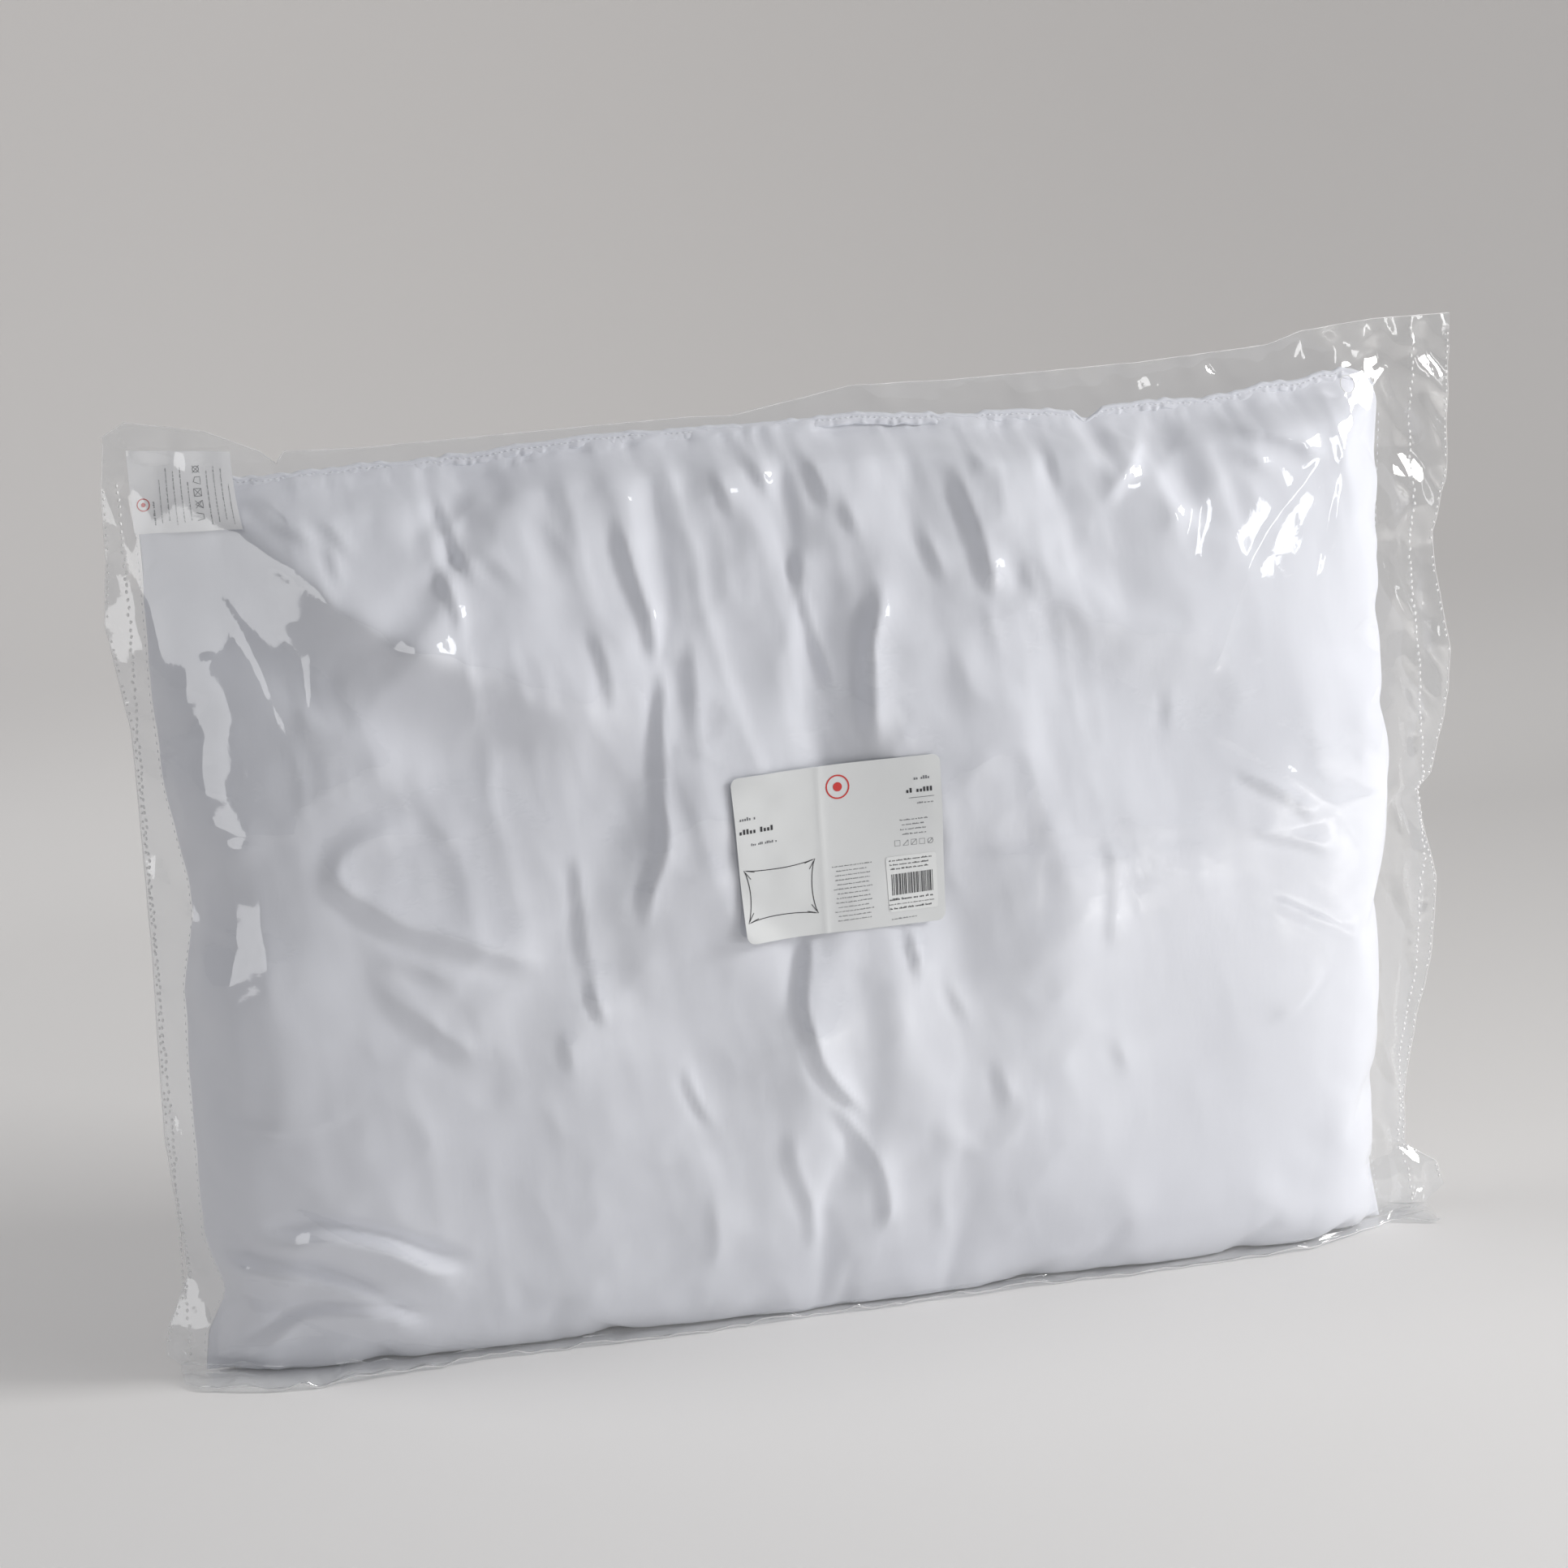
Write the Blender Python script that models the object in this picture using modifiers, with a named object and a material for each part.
"""A bed pillow in its clear film bag, standing on one long edge.

The pillow is a fibre core in a casing of two sewn panels, with thread in each seam and a care
label caught in the left seam. The bag is a film tube, modelled as its front and back walls, and
welded across at both ends. A product label is stuck on the bag, and a code sticker on the label.

Frame: metres, +X along the pillow, -Y to the labelled front, +Z up. The origin is the centre of
the foot that the bag stands on. Every soft layer is one formula, skin_depth, with its own Skin.
"""

import math
from dataclasses import dataclass

import bmesh
import bpy

# Driving dimensions, in metres.
PILLOW_LENGTH = 0.665  # side seam to side seam, filled
PILLOW_HEIGHT = 0.475  # foot to the top of the closing seam
CORE_THICKNESS = 0.118
SINK = 0.010  # how much of the round underside is squashed flat by standing on it
SIDE_TUCK = 0.009  # how far the sides pull in between the corners
TOP_HEM = 0.006  # the flat hem of the closing seam
SEAM_INSET = 0.006  # from a side seam in to the core

CASING_WALL = 0.0006
FILM_WALL = 0.0003
LABEL_WALL = 0.0003
CLEARANCE = 0.0004  # between one layer and the next

THREAD_DIAMETER = 0.0006
SEAM_GAP = 0.0008  # from the middle plane to a casing panel at its seams

FILM_LOOSENESS = 0.005  # how much longer the film's dome is than the casing's, at each end
MARGIN_GAP = 0.0006  # from the middle plane to the film out in the margins
MARGIN_BLEND = 0.008  # length over which the film closes from the one gap to the other
LEFT_MARGIN = 0.021
RIGHT_MARGIN = 0.043
TOP_MARGIN = 0.014  # from the top of the closing seam to the middle of the bag's top fold
CORNER_LIFT = 0.016  # the bag's top corners stand this much higher than its middle
LEFT_LIP = 0.009  # film outside the left weld
RIGHT_LIP = 0.024  # film outside the right weld
WELD_WIDTH = 0.0025
WELD_THICKNESS = 0.0005
VENT_DIAMETER = 0.009
VENT_FROM_RIGHT = 0.024  # from the pillow's right seam to the vent hole
VENT_BELOW_TOP = 0.005  # from the top of the closing seam to the vent hole

PRODUCT_LABEL_SIZE = (0.115, 0.088)
PRODUCT_LABEL_CENTRE = (0.009, 0.256)  # from the pillow's middle, and from the foot
CODE_STICKER_SIZE = (0.033, 0.027)
CODE_STICKER_INSET = (0.004, 0.008)  # from the label's right and bottom edges
CARE_LABEL_SIZE = (0.050, 0.041)
CARE_LABEL_OUT = 0.003  # how far the care label stands outside the left seam
CARE_LABEL_ABOVE = 0.007  # how far it stands above the closing seam

# The dome's shape.
END_POWER = 3.2  # higher is fuller towards the side seams
END_ROUND = 0.62
BELLY_ROUND = 0.56
PEAR = 0.72  # under 1, the thickest place is below the middle
PLATEAU = 1.07  # over 1, the middle is pressed flat

# Mesh density.
COLUMNS = 22
ROWS = 14
BASE_SHARES = (0.0, 0.55, 1.0)

# Where the layers stand, worked out from the sizes above.
PILLOW_MIDDLE = (LEFT_MARGIN - RIGHT_MARGIN) / 2
FILM_FLOOR = FILM_WALL
CASING_FLOOR = FILM_FLOOR + CLEARANCE + CASING_WALL
CORE_FLOOR = CASING_FLOOR + CLEARANCE
DOME_TOP = PILLOW_HEIGHT - TOP_HEM
CASING_OUTSIDE = SEAM_GAP + CASING_WALL
CARE_LABEL_GAP = CASING_OUTSIDE + THREAD_DIAMETER + 2 * CLEARANCE
FILM_GAP = CARE_LABEL_GAP + LABEL_WALL + CLEARANCE
FILM_ABOVE = CARE_LABEL_ABOVE + CLEARANCE
FILM_OVER = TOP_MARGIN - FILM_ABOVE


@dataclass(frozen=True)
class Skin:
    """One layer's inner surface: a dome over a tucked rectangle, on a flat foot."""

    half_length: float
    floor: float
    top: float
    depth: float
    gap: float


CORE = Skin(
    PILLOW_LENGTH / 2 - SEAM_INSET, CORE_FLOOR, DOME_TOP - SEAM_INSET, CORE_THICKNESS / 2, 0.0
)
CASING = Skin(
    PILLOW_LENGTH / 2, CASING_FLOOR, DOME_TOP, CORE_THICKNESS / 2 + CLEARANCE, SEAM_GAP
)
FILM = Skin(
    CASING.half_length + FILM_LOOSENESS,
    FILM_FLOOR,
    PILLOW_HEIGHT + FILM_ABOVE,
    CASING.depth + CASING_WALL + 2 * CLEARANCE,
    FILM_GAP,
)
# The care label lies half way between the casing and the film.
CARE = Skin(
    (CASING.half_length + FILM.half_length) / 2,
    FILM_FLOOR,
    (CASING.top + FILM.top) / 2,
    (CASING.depth + CASING_WALL + FILM.depth) / 2,
    CARE_LABEL_GAP,
)


def tuck_at(z):
    """How far a side is pulled in at this height."""
    return SIDE_TUCK * math.sin(math.pi * min(1.0, max(0.0, z / PILLOW_HEIGHT)))


def half_length_at(skin, z):
    return skin.half_length - tuck_at(z)


def skin_depth(skin, x, z):
    """How far the skin stands from the middle plane, above its seam gap."""
    along = min(1.0, abs(x - PILLOW_MIDDLE) / half_length_at(skin, z))
    ends = (1 - along**END_POWER) ** END_ROUND
    rise = (z - skin.floor + SINK) / (skin.top - skin.floor + SINK)
    rise = min(1.0, max(0.0, rise)) ** PEAR
    belly = (4 * rise * (1 - rise)) ** BELLY_ROUND
    return skin.depth * min(1.0, PLATEAU * ends * belly)


def body_columns():
    """Places across a skin, from -1 to 1, closer together towards the ends."""
    return [(math.sin(math.pi * (i / COLUMNS - 0.5)), 0.0) for i in range(COLUMNS + 1)]


def body_rows(skin):
    """Heights up a skin, closer together towards the top seam, with the foot's rows first."""
    start = math.acos(1 - 2 * SINK / (skin.top - skin.floor + SINK))
    heights = []
    for j in range(1, ROWS + 1):
        turn = start + (math.pi - start) * j / ROWS
        rise = (1 - math.cos(turn)) / 2
        heights.append(skin.floor - SINK + rise * (skin.top - skin.floor + SINK))
    foot = [(skin.floor, share, 0.0) for share in BASE_SHARES]
    return foot + [(height, 1.0, 0.0) for height in heights]


def margin_gap(beyond):
    """The film's distance from the middle plane, this far outside the pillow."""
    share = min(1.0, beyond / MARGIN_BLEND)
    return FILM_GAP + (MARGIN_GAP - FILM_GAP) * share


def skin_point(skin, column, row, gap_at):
    """A point of the front skin: column is (place across, metres beyond the end) and row is
    (height, share of the foot's depth, metres beyond the top)."""
    across, beyond = column
    height, share, above = row
    x = PILLOW_MIDDLE + across * half_length_at(skin, height) + beyond
    depth = 0.0 if beyond or above else share * skin_depth(skin, x, height)
    lift = 0.0
    if above:
        lift = above + CORNER_LIFT * abs(across) ** 3 * above / FILM_OVER
    return x, -(gap_at(max(abs(beyond), above)) + depth), height + lift


def grid_object(name, columns, rows, place):
    """A grid of faces with each crossing put where place(column, row) says."""
    mesh = bpy.data.meshes.new(name)
    shape = bmesh.new()
    bmesh.ops.create_grid(
        shape, x_segments=len(columns) - 1, y_segments=len(rows) - 1, size=1.0
    )
    for vert in shape.verts:
        i = round((vert.co.x + 1) / 2 * (len(columns) - 1))
        j = round((vert.co.y + 1) / 2 * (len(rows) - 1))
        vert.co = place(columns[i], rows[j])
    bmesh.ops.remove_doubles(shape, verts=shape.verts, dist=1e-5)
    shape.to_mesh(mesh)
    shape.free()
    obj = bpy.data.objects.new(name, mesh)
    PARTS.objects.link(obj)
    return obj


def turn_to_back(obj):
    """Turns a front piece into its back twin."""
    shape = bmesh.new()
    shape.from_mesh(obj.data)
    for vert in shape.verts:
        vert.co.y = -vert.co.y
    bmesh.ops.reverse_faces(shape, faces=shape.faces)
    shape.to_mesh(obj.data)
    shape.free()


def thicken(obj, wall, offset=1.0):
    """Gives an open surface its wall, outwards unless offset says otherwise."""
    solidify = obj.modifiers.new("wall", "SOLIDIFY")
    solidify.thickness = wall
    solidify.offset = offset
    solidify.use_even_offset = True


def dress(obj, colour, roughness, metallic=0.0, alpha=1.0):
    """Gives the piece its own material and smooth round faces."""
    material = bpy.data.materials.new(obj.name)
    material.use_nodes = True
    shader = material.node_tree.nodes["Principled BSDF"]
    shader.inputs["Base Color"].default_value = (*colour, 1.0)
    shader.inputs["Roughness"].default_value = roughness
    shader.inputs["Metallic"].default_value = metallic
    shader.inputs["Alpha"].default_value = alpha
    obj.data.materials.clear()
    obj.data.materials.append(material)
    if obj.type == "MESH":
        obj.data.shade_smooth()
        obj.data.set_sharp_from_angle(angle=math.radians(40))


def make_core():
    """The fibre core: the front half of the dome, mirrored to the back."""
    core = grid_object(
        "fibre_core",
        body_columns(),
        body_rows(CORE),
        lambda column, row: skin_point(CORE, column, row, lambda beyond: CORE.gap),
    )
    mirror = core.modifiers.new("back half", "MIRROR")
    mirror.use_axis = (False, True, False)
    mirror.use_clip = True
    mirror.merge_threshold = 0.0001
    dress(core, (0.93, 0.93, 0.93), 0.95)


def make_casing_panel(name, is_back):
    """A casing panel: the dome, and the flat hem of the closing seam on top."""
    hem_rows = [(CASING.top, 1.0, TOP_HEM / 2), (CASING.top, 1.0, TOP_HEM)]

    def place(column, row):
        x, y, _ = skin_point(CASING, column, row, lambda beyond: CASING.gap)
        return x, y, row[0] + row[2]

    panel = grid_object(name, body_columns(), body_rows(CASING) + hem_rows, place)
    if is_back:
        turn_to_back(panel)
    thicken(panel, CASING_WALL)
    dress(panel, (0.90, 0.91, 0.94), 0.8)


def thread_object(name, points):
    """A seam's thread, as a round tube through these points."""
    curve = bpy.data.curves.new(name, "CURVE")
    curve.dimensions = "3D"
    curve.bevel_depth = THREAD_DIAMETER / 2
    curve.bevel_resolution = 1
    curve.use_fill_caps = True
    spline = curve.splines.new("POLY")
    spline.points.add(len(points) - 1)
    for point, place in zip(spline.points, points):
        point.co = (*place, 1.0)
    thread = bpy.data.objects.new(name, curve)
    PARTS.objects.link(thread)
    dress(thread, (0.93, 0.94, 0.96), 0.6)


def make_seam_threads():
    """Thread in the two side seams, the bottom seam, and both faces of the closing hem."""
    spread = [i / 12 for i in range(13)]
    corner_room = 0.008
    in_from_seam = 0.0025
    side_top = DOME_TOP - corner_room
    for name, side in (("left_seam_thread", -1), ("right_seam_thread", 1)):
        heights = [CORE_FLOOR + corner_room + s * (side_top - CORE_FLOOR - corner_room) for s in spread]
        thread_object(
            name,
            [
                (PILLOW_MIDDLE + side * (half_length_at(CASING, z) - in_from_seam), 0.0, z)
                for z in heights
            ],
        )
    reach = CASING.half_length - corner_room
    across = [PILLOW_MIDDLE + reach * (2 * s - 1) for s in spread]
    slot_middle = CASING_FLOOR - CASING_WALL / 2
    thread_object("bottom_seam_thread", [(x, 0.0, slot_middle) for x in across])
    off_middle = CASING_OUTSIDE + CLEARANCE + THREAD_DIAMETER / 2
    hem_middle = PILLOW_HEIGHT - TOP_HEM / 2
    for name, side in (("closing_seam_needle_thread", -1), ("closing_seam_bobbin_thread", 1)):
        thread_object(name, [(x, side * off_middle, hem_middle) for x in across])


def film_columns():
    """The dome's columns with the margins' columns outside them."""
    left = [(-1.0, -LEFT_MARGIN * share) for share in (1.0, 0.6, 0.35)]
    right = [(1.0, RIGHT_MARGIN * share) for share in (0.18, 0.42, 0.7, 1.0)]
    looseness = [FILM_LOOSENESS] * (len(left) + len(right))
    left = [(across, beyond + extra) for (across, beyond), extra in zip(left, looseness)]
    right = [(across, beyond - extra) for (across, beyond), extra in zip(right, looseness)]
    return left + body_columns() + right


def film_top_rows():
    """Rows of the loose film above the pillow."""
    return [(FILM.top, 1.0, FILM_OVER * share) for share in (0.4, 1.0)]


def make_film_wall(name, is_back):
    """One wall of the bag, with its end and top margins."""
    wall = grid_object(
        name,
        film_columns(),
        body_rows(FILM) + film_top_rows(),
        lambda column, row: skin_point(FILM, column, row, margin_gap),
    )
    if is_back:
        turn_to_back(wall)
    thicken(wall, FILM_WALL)
    if not is_back:
        cut_vent(wall)
    dress(wall, (0.92, 0.94, 0.95), 0.08, alpha=0.25)


def cut_vent(wall):
    """Punches the vent hole in the front wall."""
    x = PILLOW_MIDDLE + CASING.half_length - VENT_FROM_RIGHT
    reach = 2 * (FILM.gap + FILM.depth)
    bpy.ops.mesh.primitive_cylinder_add(
        vertices=16,
        radius=VENT_DIAMETER / 2,
        depth=reach,
        location=(x, -reach / 2, PILLOW_HEIGHT - VENT_BELOW_TOP),
        rotation=(math.pi / 2, 0.0, 0.0),
    )
    punch = bpy.context.object
    punch.name = "vent_punch"
    punch.hide_render = True
    punch.display_type = "WIRE"
    for collection in list(punch.users_collection):
        collection.objects.unlink(punch)
    CUTTERS.objects.link(punch)
    vent = wall.modifiers.new("vent hole", "BOOLEAN")
    vent.operation = "DIFFERENCE"
    vent.solver = "EXACT"
    vent.object = punch


def make_weld(name, side, margin, lip):
    """A bead where the two walls are fused, following the bag's end."""
    out = margin - lip - FILM_LOOSENESS
    columns = [(side, side * (out - WELD_WIDTH)), (side, side * out)]
    rows = body_rows(FILM)[len(BASE_SHARES) - 1 :] + film_top_rows()

    def place(column, row):
        x, _, z = skin_point(FILM, column, row, margin_gap)
        return x, 0.0, z

    weld = grid_object(name, sorted(columns, key=lambda column: column[1]), rows, place)
    thicken(weld, WELD_THICKNESS, offset=0.0)
    dress(weld, (0.85, 0.87, 0.88), 0.25, alpha=0.6)


def make_patch(name, skin, size, centre, lift, steps, colour):
    """A label: a rectangle laid on a skin, lift further out than the skin's own surface."""
    across = [(centre[0] + size[0] * (i / steps - 0.5)) for i in range(steps + 1)]
    heights = [(centre[1] + size[1] * (j / steps - 0.5)) for j in range(steps + 1)]

    def place(x, z):
        return x, -(skin.gap + skin_depth(skin, x, z) + lift), z

    patch = grid_object(name, across, heights, place)
    thicken(patch, LABEL_WALL)
    dress(patch, colour, 0.5)


def make_labels():
    """The care label under the film, the product label on it, and the code sticker on that."""
    care_left = PILLOW_MIDDLE - CASING.half_length - CARE_LABEL_OUT
    make_patch(
        "care_label",
        CARE,
        CARE_LABEL_SIZE,
        (
            care_left + CARE_LABEL_SIZE[0] / 2,
            PILLOW_HEIGHT + CARE_LABEL_ABOVE - CARE_LABEL_SIZE[1] / 2,
        ),
        0.0,
        6,
        (0.93, 0.93, 0.94),
    )
    middle = PILLOW_MIDDLE + PRODUCT_LABEL_CENTRE[0]
    height = PRODUCT_LABEL_CENTRE[1]
    on_film = FILM_WALL + CLEARANCE
    make_patch(
        "product_label", FILM, PRODUCT_LABEL_SIZE, (middle, height), on_film, 8, (0.90, 0.92, 0.92)
    )
    right, bottom = (
        (middle + PRODUCT_LABEL_SIZE[0] / 2 - CODE_STICKER_INSET[0]),
        (height - PRODUCT_LABEL_SIZE[1] / 2 + CODE_STICKER_INSET[1]),
    )
    make_patch(
        "code_sticker",
        FILM,
        CODE_STICKER_SIZE,
        (right - CODE_STICKER_SIZE[0] / 2, bottom + CODE_STICKER_SIZE[1] / 2),
        on_film + LABEL_WALL + CLEARANCE,
        3,
        (0.94, 0.94, 0.95),
    )


def clear_scene():
    for obj in list(bpy.data.objects):
        bpy.data.objects.remove(obj)


def new_collection(name):
    collection = bpy.data.collections.new(name)
    bpy.context.scene.collection.children.link(collection)
    return collection


clear_scene()
PARTS = new_collection("bagged_bed_pillow")
CUTTERS = new_collection("cutters")
make_core()
make_casing_panel("front_casing_panel", is_back=False)
make_casing_panel("back_casing_panel", is_back=True)
make_seam_threads()
make_film_wall("bag_front_wall", is_back=False)
make_film_wall("bag_back_wall", is_back=True)
make_weld("bag_left_weld", -1, LEFT_MARGIN, LEFT_LIP)
make_weld("bag_right_weld", 1, RIGHT_MARGIN, RIGHT_LIP)
make_labels()
